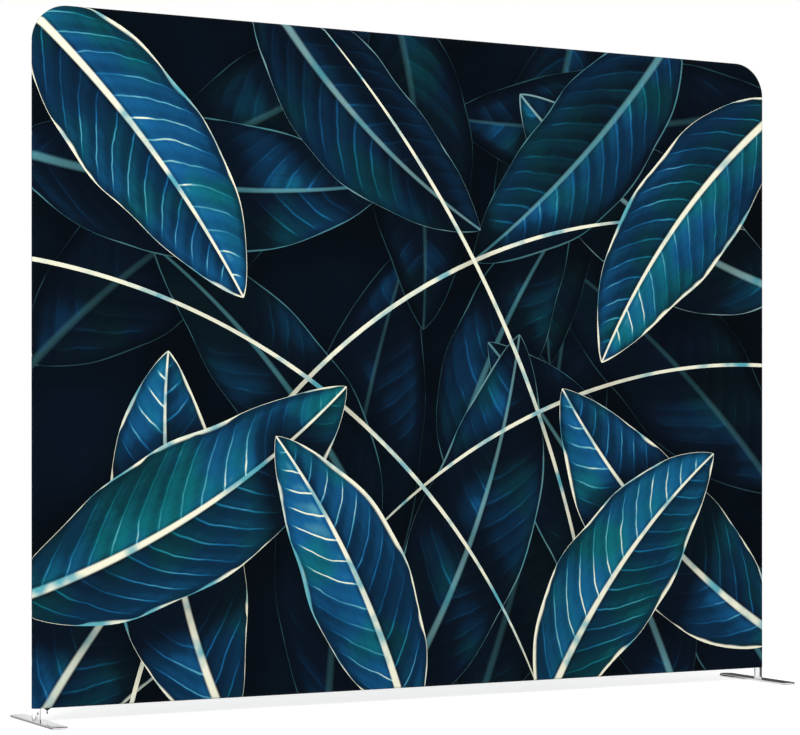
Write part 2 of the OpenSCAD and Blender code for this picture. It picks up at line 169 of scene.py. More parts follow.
class MetalSettings(bpy.types.PropertyGroup):
    """Finish of tubes, feet and small metal parts"""
    tube: tint("Tube", "Polished tube", "f0f0f1")
    plate: tint("Foot plate", "Polished steel plate", "d6d7d9")
    sleeve: tint("Sleeve", "Zinc-plated sleeve", "a9adb2")
    nickel: tint("Button", "Nickel-plated button", "b9babc")
    spring: tint("Spring", "Blued spring steel", "3c3f46")
    rivet: tint("Rivet", "Aluminium rivet", "b5b7ba")
    screw: tint("Screw", "Black-zinc screw", "2c2d30")
    tube_gloss: share("Tube roughness", "Roughness of the tube", 0.13)
    plate_gloss: share("Plate roughness", "Roughness of the plate", 0.17)
    leaf: size("Spring leaf", "Thickness of a snap button's leaf spring", 0.0008)
    bevel: size("Lower edge", "Rounding of a plate's lower edge", 0.0005)
    roll: size("Upper edge", "Rounding of a plate's upper edge", 0.0016)
    screw_hole: size("Screw hole", "Radius of a plate's screw holes", 0.0026)
    head_hole: size("Sunk hole", "Radius of the countersinks", 0.0046)
    sink: size("Sink depth", "Depth of the countersinks", 0.0025)


class ZipSettings(bpy.types.PropertyGroup):
    """Tapes, coils and slider"""
    step: size("Coil step", "Distance from coil to coil", 0.002)
    wire: size("Coil wire", "Thickness of the coil's nylon wire", 0.0008)
    tape: tint("Tape", "Woven zip tape", "0c1722")
    nylon: tint("Nylon", "Coil wire", "15202b")
    slider: tint("Slider", "Painted slider", "1a1d22")
    pull: tint("Pull", "Pull of the slider", "8c9095")


class RubberSettings(bpy.types.PropertyGroup):
    """Pads under the feet"""
    pad: tint("Pad", "Rubber pad", "17181a")
    rings: IntProperty(name="Rings", description="Grip rings in the pad's face", default=4, min=1, max=8)


class StudioSettings(bpy.types.PropertyGroup):
    """Floor, light and camera"""
    floor: tint("Floor", "Pale floor", "f4f4f4")
    sky: share("Sky light", "Strength of the even light from all round", 0.62)
    glow: share("Floor glow", "White that the floor adds to the eye", 0.52)
    key: number("Key lamp", "Power of the large lamp", 420, min=0, subtype="POWER")
    distance: size("Camera place across", "Camera place along X, to the left", 3.5929)
    back: size("Camera place in front", "Camera distance in front of the divider", 6.4768)
    height: size("Camera height", "Height of the camera", 0.8195)
    yaw: number("Camera turn", "Turn of the camera to the right", math.radians(28.4145), subtype="ANGLE")
    lens: number("Focal length", "Focal length on a 36 mm sensor", 110.512, min=1, subtype="DISTANCE_CAMERA")
    rise: number("Camera rise", "Vertical lens shift", 0.0760)


# Node boards
def maths(operation, reflected=False):
    """A method that adds a Math node on a wire and any other term; reflected, the wire comes last."""
    def method(wire, *others):
        terms = (*others, wire) if reflected else (wire, *others)
        return wire.board.node("ShaderNodeMath", {"operation": operation}, dict(enumerate(terms)))
    return method


class Wire:
    """A number on a socket; sums and products with it add Math nodes."""
    __add__ = __radd__ = maths("ADD")
    __mul__ = __rmul__ = maths("MULTIPLY")
    __sub__ = maths("SUBTRACT")
    __rsub__ = maths("SUBTRACT", True)
    __truediv__ = maths("DIVIDE")
    __rtruediv__ = maths("DIVIDE", True)
    __abs__ = maths("ABSOLUTE")
    low = maths("MINIMUM")
    high = maths("MAXIMUM")
    wave = maths("SINE")
    fraction = maths("FRACT")
    side = maths("SIGN")

    def __init__(self, board, socket):
        self.board = board
        self.socket = socket

    def fade(self, start, end, low=0.0, high=1.0):
        """Eased from low at start to high at end, and level outside."""
        limits = {"Value": self, "From Min": start, "From Max": end, "To Min": low, "To Max": high}
        return self.board.node("ShaderNodeMapRange", {"interpolation_type": "SMOOTHSTEP"}, limits)


class Board:
    """The node board of one material, world or Geometry Nodes tree."""

    def __init__(self, tree, owner=None):
        self.tree = tree
        self.owner = owner
        tree.nodes.clear()

    def node(self, kind, settings=None, inputs=None, out=0):
        """Adds a node, makes its settings, then sets or links its sockets, and gives one output."""
        made = self.tree.nodes.new(kind)
        for name, value in (settings or {}).items():
            if name == "stops":
                ramp = made.color_ramp
                while len(ramp.elements) < len(value):
                    ramp.elements.new(0.5)
                for element, (place, colour) in zip(ramp.elements, value):
                    element.position = place
                    element.color = (*colour, 1)
            else:
                setattr(made, name, value)
        for name, value in (inputs or {}).items():
            socket = made.inputs[name]
            if isinstance(value, Wire):
                self.tree.links.new(value.socket, socket)
            elif socket.type == "RGBA" and len(value) == 3:
                socket.default_value = (*value, 1)
            else:
                socket.default_value = value
        return Wire(self, made.outputs[out]) if len(made.outputs) else None

    def outputs(self, kind, inputs, names):
        """Adds a node and gives several of its outputs."""
        made = self.node(kind, {}, inputs).socket.node
        return [Wire(self, made.outputs[name]) for name in names]

    def place(self, kind="Object"):
        return self.node("ShaderNodeTexCoord", {}, {}, kind)

    def split(self, vector):
        return self.outputs("ShaderNodeSeparateXYZ", {0: vector}, "XYZ")

    def join(self, x, y, z):
        return self.node("ShaderNodeCombineXYZ", {}, {0: x, 1: y, 2: z})

    def scaled(self, vector, x, y, z):
        return self.node("ShaderNodeVectorMath", {"operation": "MULTIPLY"}, {0: vector, 1: (x, y, z)})

    def measures(self, name):
        """The three numbers of a vector attribute."""
        return self.split(self.node("ShaderNodeAttribute", {"attribute_name": name}, {}, "Vector"))

    def noise(self, vector, scale, detail=2.0, rough=0.5):
        return self.node("ShaderNodeTexNoise", {"noise_dimensions": "3D"},
                         {"Vector": vector, "Scale": scale, "Detail": detail, "Roughness": rough})

    def ramp(self, factor, *stops):
        return self.node("ShaderNodeValToRGB", {"stops": stops}, {0: factor})

    def mix(self, factor, a, b, blend="MIX"):
        """Two colours mixed."""
        return self.node("ShaderNodeMix", {"data_type": "RGBA", "blend_type": blend, "clamp_factor": True},
                         {0: factor, 6: a, 7: b}, 2)

    def bump(self, height, depth, strength=1.0):
        return self.node("ShaderNodeBump", {}, {"Strength": strength, "Distance": depth, "Height": height})

    def rays(self):
        """Camera, glossy and transmission rays."""
        kinds = ("Camera", "Glossy", "Transmission")
        return self.outputs("ShaderNodeLightPath", {}, [f"Is {kind} Ray" for kind in kinds])

    def surface(self, **inputs):
        """Closes the board with one Principled shader; underscores stand for spaces. Gives the material."""
        sockets = {name.replace("_", " "): value for name, value in inputs.items()}
        shader = self.node("ShaderNodeBsdfPrincipled", {}, sockets)
        self.node("ShaderNodeOutputMaterial", {}, {"Surface": shader})
        return self.owner


def new_board(name):
    material = bpy.data.materials.new(name)
    material.use_nodes = True
    return Board(material.node_tree, material)


def dress(item, *materials):
    """Gives an object exactly these materials."""
    item.data.materials.clear()
    for material in materials:
        item.data.materials.append(material)
    return item


# Mesh helpers
def linked(name, data):
    item = bpy.data.objects.new(name, data)
    bpy.context.scene.collection.objects.link(item)
    return item


def new_piece(name, points, faces=(), edges=()):
    """A smooth-shaded mesh, or a path of edges alone."""
    mesh = bpy.data.meshes.new(name)
    mesh.from_pydata([tuple(p) for p in points], edges, [tuple(f) for f in faces])
    mesh.validate()
    mesh.shade_smooth()
    return linked(name, mesh)


def closed(item, degrees, flatten=False):
    """Merges a piece's doubles, turns its faces outwards and keeps edges sharp past an angle."""
    shape = bmesh.new()
    shape.from_mesh(item.data)
    bmesh.ops.remove_doubles(shape, verts=shape.verts, dist=WELD)
    if flatten:
        bmesh.ops.dissolve_limit(shape, angle_limit=math.radians(0.6), verts=shape.verts, edges=shape.edges)
    bmesh.ops.recalc_face_normals(shape, faces=shape.faces)
    shape.to_mesh(item.data)
    shape.free()
    item.data.shade_smooth()
    item.data.set_sharp_from_angle(angle=math.radians(degrees))
    return item


def clean_copy(node, name, flatten=False):
    """A merged copy of a frame node, with its materials."""
    item = linked(name, frame["nodes"][node].data.copy())
    stored = item.data.attributes.get("custom_normal")
    if stored:
        item.data.attributes.remove(stored)
    return closed(item, 32, flatten)


def as_mesh(item):
    """Turns a piece with live modifiers into a plain mesh."""
    graph = bpy.context.evaluated_depsgraph_get()
    mesh = bpy.data.meshes.new_from_object(item.evaluated_get(graph), preserve_all_data_layers=True,
                                           depsgraph=graph)
    item.modifiers.clear()
    item.data = mesh
    return item


def worked(item, kind, **settings):
    """Runs one modifier on a piece."""
    modifier = item.modifiers.new(kind.title(), kind)
    for name, value in settings.items():
        setattr(modifier, name, value)
    return as_mesh(item)


def between_rings(rows, count):
    """Faces between rows of points, each row a closed ring of count points."""
    faces = []
    for first in range(0, (rows - 1) * count, count):
        for i in range(count):
            j = (i + 1) % count
            faces.append((first + i, first + j, first + count + j, first + count + i))
    return faces


def turned(profile, segments, origin, along=0):
    """Points and faces of a profile of (radius, height) spun about Z, or about Y with heights along it."""
    points = []
    for r, h in profile:
        for i in range(segments):
            a = math.tau * i / segments
            x, y = r * math.cos(a), r * math.sin(a)
            points.append(Vector((x, along * h, y) if along else (x, y, h)) + Vector(origin))
    return points, between_rings(len(profile), segments)


def joined(parts):
    """Several lists of points and faces as one."""
    points = []
    faces = []
    for more, sides in parts:
        faces += [tuple(i + len(points) for i in face) for face in sides]
        points += more
    return points, faces


def cut_flat(loose, outlines, close):
    """A flat mesh of loose points cut along closed outlines, and for each face the outlines it is in."""
    points = list(loose)
    loops = []
    for outline in outlines:
        loops.append(list(range(len(points), len(points) + len(outline))))
        points += list(outline)
    flat, _, faces, _, _, inside = delaunay_2d_cdt([Vector(p) for p in points], [], loops, 1, close)
    return [tuple(p) for p in flat], faces, inside


def spaced(start, end, step):
    return np.linspace(start, end, max(2, int(round(abs(end - start) / step)) + 1))


def level(x, z):
    """Flat points at one height."""
    return np.column_stack((x, np.full(len(x), z)))


def eased(value):
    t = np.clip(value, 0, 1)
    return t * t * (3 - 2 * t)


# Leaves of the print: a row is the foot of the leaf across and up, its heading and turn in degrees,
# its length and half width, its layer from far 0 to near 1, and its hue from blue 0 to teal 1
LEAVES = (
    (-1.30, 0.95, 48, -26, 1.15, 0.21, 0.05, 0.3),
    (-0.95, 1.55, 20, 18, 1.20, 0.19, 0.10, 0.6),
    (-0.34, -0.20, 90, -20, 1.60, 0.22, 0.10, 0.2),
    (0.10, -0.20, 66, 20, 1.75, 0.22, 0.12, 0.5),
    (1.35, 0.55, 128, 22, 1.30, 0.23, 0.08, 0.3),
    (0.55, 2.15, -108, 24, 1.15, 0.20, 0.12, 0.6),
    (1.40, 1.90, 196, -20, 1.35, 0.20, 0.10, 0.2),
    (-0.15, 2.20, -72, -22, 1.10, 0.18, 0.08, 0.4),
    (-0.15, 0.42, 114, 30, 1.20, 0.17, 0.36, 0.7),
    (0.06, 0.62, 74, -22, 1.00, 0.15, 0.34, 0.3),
    (1.40, -0.16, 120, 20, 0.80, 0.19, 0.40, 0.3),
    (-1.42, 1.62, -16, 26, 1.30, 0.20, 0.42, 0.2),
    (-1.33, -0.16, 62, -24, 1.25, 0.24, 0.66, 0.3),
    (0.95, -0.15, 108, 26, 1.45, 0.22, 0.46, 0.2),
    (1.40, 1.25, 168, -34, 1.25, 0.21, 0.52, 0.7),
    (-0.20, -0.12, 52, 30, 1.35, 0.20, 0.48, 0.3),
    (0.95, 2.15, -124, -20, 1.15, 0.19, 0.44, 0.5),
    (-0.60, 2.18, -58, 28, 1.10, 0.18, 0.50, 0.3),
    # Thin stalks
    (-0.98, -0.05, 78, -86, 2.90, 0.0068, 0.80, 0.4),
    (0.62, -0.06, 96, 40, 2.40, 0.0064, 0.78, 0.4),
    (1.32, 1.02, 176, 50, 1.80, 0.0060, 0.76, 0.6),
    (-1.34, 1.30, -6, -65, 2.40, 0.0064, 0.74, 0.3),
    # Near leaves
    (-0.62, -0.12, 118, -34, 1.20, 0.20, 0.78, 0.2),
    (-1.40, 0.32, 14, 30, 1.30, 0.21, 0.86, 0.6),
    (1.38, 0.10, 152, -30, 1.25, 0.21, 0.84, 0.3),
    (0.38, -0.12, 66, -28, 1.10, 0.19, 0.92, 0.7),
    (1.40, 1.92, 214, 30, 1.20, 0.19, 0.88, 0.4),
    (-1.36, 2.06, -38, -22, 1.15, 0.19, 0.94, 0.5),
    (-0.05, -0.14, 104, 24, 1.05, 0.17, 1.00, 0.3),
)
BLADE_START = 0.06
BLADE_PEAK = 0.3437
STALK_HALF = 0.012
SHADOW_SHIFT = np.array((0.020, -0.034))


class Leaf:
    """One printed leaf on a bent rib, in the cloth's flat coordinates."""

    def __init__(self, number, row):
        x, z, heading, turn, self.length, self.half, self.depth, self.hue = row
        self.number = number
        self.seed = (number * 0.618) % 1
        self.foot = np.array((x, z))
        a = math.radians(heading)
        self.along = np.array((math.cos(a), math.sin(a)))
        self.across = np.array((-math.sin(a), math.cos(a)))
        self.bend = math.radians(turn) / self.length

    def width(self, s, side):
        """Half width at a distance along the rib, on the left (1) or right (-1) side of it."""
        t = np.clip(s / self.length, 0, 1)
        blade = np.clip((t - BLADE_START) / (1 - BLADE_START), 0, 1)
        form = blade ** 0.72 * (1 - blade) ** 0.82 / BLADE_PEAK
        phase = math.tau * self.seed + side * 1.3
        ripple = 1 + 0.035 * np.sin(11 * t + phase) + 0.018 * np.sin(27 * t + 2 * phase)
        return np.maximum(self.half * form * ripple, min(STALK_HALF, self.half) * (1 - t) ** 0.5)

    def point(self, s, n):
        """Flat place of a point s along the rib and n to its left."""
        a = self.bend * s
        forward = (np.sin(a) / self.bend)[:, None] * self.along
        sideways = ((1 - np.cos(a)) / self.bend)[:, None] * self.across
        normal = -np.sin(a)[:, None] * self.along + np.cos(a)[:, None] * self.across
        return self.foot + forward + sideways + n[:, None] * normal

    def local(self, flat):
        """Distance along the rib, distance to its left and half width there, of flat points."""
        rel = flat - self.foot
        turn = np.sign(self.bend)
        a = rel @ self.along
        r = 1 / abs(self.bend)
        b = r - turn * (rel @ self.across)
        s = np.arctan2(a, b) * r
        n = turn * (r - np.hypot(a, b))
        return s, n, self.width(s, np.where(n < 0, -1.0, 1.0))

    def outline(self, steps=72):
        s = (1 - np.cos(np.linspace(0, math.pi, steps))) / 2 * self.length
        right = self.point(s, -self.width(s, -1.0))
        left = self.point(s, self.width(s, 1.0))
        return np.vstack((right, left[-2:0:-1]))

    def shadow(self, flat):
        """Soft dark that the leaf throws on what lies under it."""
        s, n, w = self.local(flat - SHADOW_SHIFT)
        past = np.maximum(np.maximum(s - self.length, -s), 0)
        away = np.hypot(np.maximum(np.abs(n) - w, 0), past)
        reach = 0.05 + 0.09 * self.depth
        return 1 - (0.35 + 0.35 * self.depth) * eased(1 - away / reach)


def split(outline, step, chosen):
    """A closed outline with more points on its chosen sides, no further apart than step."""
    rows = []
    for i, start in enumerate(outline):
        way = outline[(i + 1) % len(outline)] - start
        parts = max(1, math.ceil(math.hypot(*way) / step)) if chosen[i] else 1
        rows.append(start + way * (np.arange(parts)[:, None] / parts))
    return np.vstack(rows)


class Panel:
    """The cover's front cloth, laid flat and wrapped round the frame."""

    def __init__(self, settings):
        self.corner = settings.corner
        self.turn = CLOTH_R * math.pi / 2
        self.fold = HEM_R * math.pi / 2
        self.low = COVER_Z + HEM_R
        self.tuck = self.fold + CLOTH_R - HEM_R - settings.slot
        self.bottom = self.low - self.tuck
        self.bend_x = POST_X - self.corner
        self.bend_z = TOP_Z - self.corner
        self.step = settings.grid
        self.rim = settings.rim_grid
        self.edge = POST_X + self.turn
        self.across = spaced(-self.edge, self.edge, self.rim)[1:-1]

    def ring(self, offset):
        """Points along the sides and top, at a distance outside the middle of the tube."""
        r = self.corner + offset
        arc = spaced(0, math.pi / 2, self.rim / r)[1:-1]
        right = level(spaced(self.bottom, self.bend_z, self.rim), POST_X + offset)[:, ::-1]
        corner = np.column_stack((self.bend_x + r * np.cos(arc), self.bend_z + r * np.sin(arc)))
        top = level(spaced(self.bend_x, -self.bend_x, self.rim), TOP_Z + offset)
        return np.vstack((right, corner, top, corner[::-1] * (-1, 1), right[::-1] * (-1, 1)))

    def outside(self, flat):
        """Distance outside the tube's middle line at the sides and top, and the way outwards."""
        x = np.abs(flat[:, 0])
        z = flat[:, 1]
        cx = np.maximum(x - self.bend_x, 0)
        cz = np.maximum(z - self.bend_z, 0)
        length = np.hypot(cx, cz)
        in_corner = (cx > 0) & (cz > 0)
        far = np.where(in_corner, length - self.corner, np.maximum(x - POST_X, z - TOP_Z))
        length = np.maximum(length, 1e-9)
        nx = np.where(in_corner, cx / length, x - POST_X > z - TOP_Z)
        nz = np.where(in_corner, cz / length, 1 - nx)
        return far, nx * np.sign(flat[:, 0]), nz

    def loose_points(self, rings=8):
        """Points close together where the cloth bends, and a coarse grid over its flat face."""
        rows = [self.ring(self.turn * k / rings) for k in range(rings)]
        rows += [level(self.across, self.bottom + self.tuck * k / (rings - 1)) for k in range(1, rings)]
        inset = self.step * 0.6
        x = spaced(-POST_X + inset, POST_X - inset, self.step)
        z = spaced(self.low + inset, TOP_Z - inset, self.step)
        grid = np.stack(np.meshgrid(x, z), -1).reshape(-1, 2)
        far, _, _ = self.outside(grid)
        rows.append(grid[far < -0.4 * self.step])
        return np.vstack(rows)

    def outline(self):
        return np.vstack((self.ring(self.turn), level(self.across, self.bottom)))

    def fitted(self, outline):
        """A leaf's outline with close points where the cloth bends, so that it stays off the tube."""
        outline = split(outline, self.step, np.full(len(outline), True))
        far, _, _ = self.outside(outline)
        margin = 0.75 * self.step
        bent = (far > -margin) & (far < self.turn + margin)
        bent |= (outline[:, 1] > self.bottom - margin) & (outline[:, 1] < self.low + margin)
        return split(outline, self.rim / 2, bent | np.roll(bent, -1))

    def wrapped(self, flat, lift=0.0):
        """Places in the room of flat points, lifted off the cloth's face."""
        far, nx, nz = self.outside(flat)
        over = np.clip(far, 0, None)
        radius = CLOTH_R + lift
        angle = over / CLOTH_R
        x = flat[:, 0] - nx * over + nx * radius * np.sin(angle)
        y = -radius * np.cos(angle)
        z = flat[:, 1] - nz * over + nz * radius * np.sin(angle)

        # The hem: straight beside the legs, rolled under the tube between them
        under = np.clip(self.low - flat[:, 1], 0, None)
        turn = np.clip(under, 0, self.fold) / HEM_R
        hem_r = HEM_R + lift
        hem_y = -(CLOTH_R - HEM_R) - hem_r * np.cos(turn) + np.clip(under - self.fold, 0, None)
        hem_z = np.where(under > 0, self.low - hem_r * np.sin(turn), z)
        straight_z = np.where(under > 0, self.low - under * HEM_R / self.tuck, z)
        leg_side = POST_X - TUBE_R
        rolled = eased((leg_side - np.abs(flat[:, 0])) / (leg_side - ZIP_HALF)) * (under > 0)
        y = y * (1 - rolled) + hem_y * rolled
        z = straight_z * (1 - rolled) + hem_z * rolled
        return np.column_stack((x, y, z))


def cloth_mesh(name, panel):
    """The printed front cloth: a mesh cut along the leaves' outlines, with each leaf's own measures on it."""
    leaves = [Leaf(i, row) for i, row in enumerate(LEAVES)]
    outlines = [panel.outline()] + [panel.fitted(leaf.outline()) for leaf in leaves]
    flat, faces, inside = cut_flat(panel.loose_points(), outlines, 1e-6)
    kept = [(face, max(over)) for face, over in zip(faces, inside) if 0 in over]
    used = sorted({v for face, _ in kept for v in face})
    renumbered = {v: i for i, v in enumerate(used)}
    flat = np.array([flat[v] for v in used])
    item = new_piece(name, panel.wrapped(flat), [[renumbered[v] for v in face] for face, _ in kept])
    mesh = item.data
    if len(mesh.polygons) != len(kept):
        raise RuntimeError("the cloth lost faces, so its print would slip")
    corner = np.zeros(len(mesh.loops), dtype=np.int32)
    mesh.loops.foreach_get("vertex_index", corner)
    owner = np.repeat([number for _, number in kept], 3)
    at = flat[corner]
    place = np.column_stack((at, np.ones(len(corner))))
    tone = np.zeros((len(corner), 3))
    light = np.ones((len(corner), 3)) * (1, 1, 0)
    for leaf in leaves:
        mine = owner == leaf.number + 1
        s, n, w = leaf.local(at[mine])
        place[mine] = np.column_stack((s, n, w))
        tone[mine] = (leaf.depth, leaf.hue, leaf.seed)
        light[mine, 1] = np.clip(s / leaf.length, 0, 1)
        light[mine, 2] = 1
        below = owner < leaf.number + 1
        light[below, 0] *= leaf.shadow(at[below])
    for label, values in (("leaf_place", place), ("leaf_tone", tone), ("leaf_light", light)):
        layer = mesh.attributes.new(label, "FLOAT_VECTOR", "CORNER")
        layer.data.foreach_set("vector", values.astype(np.float32).ravel())
    weave = mesh.uv_layers.new(name="cloth")
    weave.data.foreach_set("uv", at.astype(np.float32).ravel())
    return item


# Materials
def printed_cloth(settings):
    """Dye-printed knit: layered leaves in the leaf's own measures, over a dark ground."""
    b = new_board("printed_cloth")
    u, v, w = b.measures("leaf_place")
    depth, hue, seed = b.measures("leaf_tone")
    shade, t, on_leaf = b.measures("leaf_light")
    cloth = b.node("ShaderNodeUVMap", {"uv_map": "cloth"})

    # Measures on the blade
    aside = abs(v)
    q = (aside / w).low(1)
    inset = w - aside
    here = b.join(u, v, seed * 9)
    cloud = b.noise(here, 3.2, 3)
    wander = b.noise(here, 9.0, 2)
    patch = b.noise(here, 4.4, 2)
    grain = b.noise(b.scaled(here, 14, 60, 1), 1.0, 3, 0.6)
    fine = b.noise(cloth, 160, 2, 0.7)

    # Side veins sweep from the rib to the tip
    vein_step = 0.078
    sweep = u - aside * (0.62 + 0.55 * q) + 0.035 * (wander - 0.5) + v.side() * 0.019
    phase = sweep / vein_step + seed * 5
    turn = (phase.fraction() - 0.5) * vein_step
    soft = 0.009 - 0.0055 * depth
    vein = (1 - abs(turn).fade(0.0011, 0.0016 + soft)) * inset.fade(0.004, 0.05)
    vein = vein * (0.35 + 0.65 * cloud.fade(0.35, 0.62))
    swell = 0.5 + 0.5 * (phase * math.tau + math.pi).wave()

    # Folded blade: the left half faces the light, the right half turns away
    lit = v.fade(-0.004, 0.004)
    fold = lit * (0.20 - 0.17 * q) + (1 - lit) * (0.14 * q - 0.08)
    tone = 0.22 + 0.25 * depth + fold + 0.09 * swell * (1 - 0.5 * q) + 0.16 * (t - 0.45)
    tone = tone + 0.30 * (cloud - 0.5) + 0.10 * (grain - 0.5) + vein * (0.12 + 0.22 * depth)
    tone = tone - (1 - inset.fade(0, 0.030)) * 0.10
    ground = 0.22 * b.noise(cloth, 2.2, 3).fade(0.3, 0.8)
    focus = inset.fade(0, 0.0005 + 0.060 * (1 - depth.fade(0, 0.4))) * on_leaf
    tone = (tone * focus + ground * (1 - focus)) * shade

    # Rib and rim in cream, with a groove beside the rib
    rib_half = 0.0024 + 0.0100 * (1 - t) * (0.5 + 0.5 * depth)
    rib = 1 - aside.fade(rib_half * (0.4 + 0.35 * depth), rib_half * (2.5 - 1.2 * depth))
    rim_half = 0.0012 + 0.0095 * b.noise(here, 5.0, 2).fade(0.40, 0.64)
    rim_half = rim_half * depth.fade(0.3, 1.0, 0.35, 1.0)
    rim = 1 - inset.fade(rim_half * 0.7, rim_half * 1.5)
    strength = depth.fade(0.0, 0.9, 0.10, 1.0)
    pale = rib.high(rim) * strength * on_leaf * (0.45 + 0.55 * shade)
    groove = aside.fade(rib_half, rib_half + 0.003) * (1 - aside.fade(rib_half + 0.003, rib_half + 0.016))
    tone = tone - 0.10 * groove * depth * on_leaf

    # Colours
    kinds = ((settings.navy, settings.dusk, settings.blue), (settings.pine, settings.deep, settings.teal))
    blues, teals = (b.ramp(tone, (0.0, settings.ink), (0.26, dim), (0.50, half_lit), (0.74, full_lit),
                           (0.90, settings.aqua), (1.0, settings.cream)) for dim, half_lit, full_lit in kinds)
    colour = b.mix((hue * 0.9 - 0.45) + patch.fade(0.42, 0.70), blues, teals)
    creamy = wander.fade(0.32, 0.54) * depth.fade(0.40, 0.78, 0.04, 1.0)
    colour = b.mix(pale, colour, b.mix(creamy, settings.aqua, settings.cream))
    colour = b.mix(0.05, colour, b.ramp(fine, (0.35, (0, 0, 0)), (0.65, (1, 1, 1))), "OVERLAY")

    # Fine interlock knit: rows of small loops
    x, y, _ = b.split(cloth)
    rows = (x * (math.tau / 0.0011)).wave()
    loops = (y * (math.tau / 0.0008) + rows * 0.8).wave()
    knit = 0.5 + 0.25 * rows + 0.25 * loops
    return b.surface(Base_Color=colour, Roughness=0.58 + 0.08 * fine, Specular_IOR_Level=0.03,
                     Sheen_Weight=0.008, Sheen_Roughness=0.4, Normal=b.bump(knit, 0.00012, 0.5))


def plain_knit(name, colour):
    b = new_board(name)
    here = b.place()
    worn = b.noise(here, 7, 3)
    tone = b.mix(worn.fade(0.3, 0.7), colour, toned(colour, 0.86))
    loops = b.noise(b.scaled(here, 900, 900, 1300), 1.0, 1)
    return b.surface(Base_Color=tone, Roughness=0.75 + 0.1 * loops, Specular_IOR_Level=0.25,
                     Sheen_Weight=0.1, Normal=b.bump(loops, 0.0002, 0.5))


def polished(name, colour, roughness, brushed, along):
    """Bright metal with a faint brush along one axis, smears and fine scratches."""
    b = new_board(name)
    here = b.place()
    stretch = [14.0 if axis == along else 900.0 for axis in "XYZ"]
    brush = b.noise(b.scaled(here, *stretch), 1.0, 2, 0.6)
    smear = b.noise(here, 16, 3, 0.6)
    scratch = b.noise(b.scaled(here, *(s * 0.35 for s in stretch)), 1.0, 4, 0.7).fade(0.66, 0.74)
    tone = b.mix(smear.fade(0.35, 0.75), colour, toned(colour, 0.90))
    rough = roughness * (0.8 + 0.5 * smear) + brushed * 0.10 * (brush - 0.5) + 0.10 * scratch
    return b.surface(Base_Color=tone, Metallic=1.0, Roughness=rough,
                     Normal=b.bump(brush + 0.6 * scratch, 0.00003, 0.15 + 0.25 * brushed))


def plated(name, colour, roughness, scale=120, metallic=1.0):
    """Small plated or painted metal parts: cloudy plating with dulled patches."""
    b = new_board(name)
    here = b.place()
    cloud = b.noise(here, scale, 3, 0.6)
    pits = b.noise(here, scale * 9, 2, 0.7)
    tone = b.mix(cloud.fade(0.35, 0.7), colour, toned(colour, 0.74))
    return b.surface(Base_Color=tone, Metallic=metallic, Roughness=roughness + 0.18 * (cloud - 0.4),
                     Normal=b.bump(pits, 0.00002, 0.3))


def rubber(name, colour):
    """Matt rubber with pale dust."""
    b = new_board(name)
    here = b.place()
    dust = b.noise(here, 60, 4, 0.7)
    skin = b.noise(here, 2600, 2)
    tone = b.mix(dust.fade(0.5, 0.8) * 0.5, colour, linear("4a4a48"))
    return b.surface(Base_Color=tone, Roughness=0.72 + 0.15 * dust, Normal=b.bump(skin, 0.00008, 0.6))


def woven_tape(name, colour):
    """Herringbone tape of filament yarn, with painted shade and highlight along its ribs."""
    b = new_board(name)
    here = b.place()
    x, y, _ = b.split(here)
    ribs = (x * (math.tau / 0.0007) + (y * (math.tau / 0.0022)).wave() * 2.2).wave()
    fuzz = b.noise(here, 1400, 2)
    # Painted shade in the rib grooves and painted highlight on the crests, following the rib bump
    tone = b.mix(0.5 + 0.5 * ribs, toned(colour, 0.6), toned(colour, 1.5))
    return b.surface(Base_Color=tone, Roughness=0.78, Sheen_Weight=0.15,
                     Normal=b.bump(ribs + 0.6 * fuzz, 0.00008, 0.7))


def filament(name, colour, roughness):
    """Smooth nylon or twisted thread."""
    b = new_board(name)
    twist = b.noise(b.scaled(b.place(), 1800, 1800, 1800), 1.0, 1)
    tone = b.mix(twist, toned(colour, 0.7), toned(colour, 1.4))
    return b.surface(Base_Color=tone, Roughness=roughness + 0.1 * twist, Normal=b.bump(twist, 0.00003, 0.4))


# Geometry Nodes
class Tree(Board):
    """A Geometry Nodes tree that repeats a shape at even steps along every edge of its mesh."""

    def __init__(self, name, sizes):
        super().__init__(bpy.data.node_groups.new(name, "GeometryNodeTree"))
        face = self.tree.interface
        kinds = {"Geometry": "Geometry", **dict.fromkeys(sizes, "Float"), "Material": "Material"}
        self.ids = {label: face.new_socket(label, in_out="INPUT", socket_type=f"NodeSocket{kind}").identifier
                    for label, kind in kinds.items()}
        face.new_socket("Geometry", in_out="OUTPUT", socket_type="NodeSocketGeometry")
        self.start = self.tree.nodes.new("NodeGroupInput")
        self.end = self.tree.nodes.new("NodeGroupOutput")

    def input(self, label):
        return Wire(self, self.start.outputs[label])

    def transform(self, shape, part, value):
        return self.node("GeometryNodeTransform", {}, {"Geometry": shape, part: value})

    def circle(self, sides, radius):
        return self.node("GeometryNodeCurvePrimitiveCircle", {}, {"Resolution": sides, "Radius": radius})

    def repeat(self, shape, **turn):
        """Closes the tree: real copies of the shape, a step apart, in the tree's material."""
        path = self.node("GeometryNodeMeshToCurve", {}, {0: self.input("Geometry")})
        even = self.node("GeometryNodeResampleCurve", {"mode": "LENGTH"},
                         {"Curve": path, "Length": self.input("Step")})
        put = self.node("GeometryNodeInstanceOnPoints", {}, {"Points": even, "Instance": shape, **turn})
        real = self.node("GeometryNodeRealizeInstances", {}, {0: put})
        painted = self.node("GeometryNodeSetMaterial", {},
                            {"Geometry": real, "Material": self.input("Material")})
        self.tree.links.new(painted.socket, self.end.inputs[0])
        return self

    def run(self, item, **values):
        """Runs the tree on an object and leaves its plain mesh."""
        modifier = item.modifiers.new(self.tree.name, "NODES")
        modifier.node_group = self.tree
        for label, value in values.items():
            modifier[self.ids[label]] = value
        as_mesh(item)
        item.data.shade_smooth()
        return item


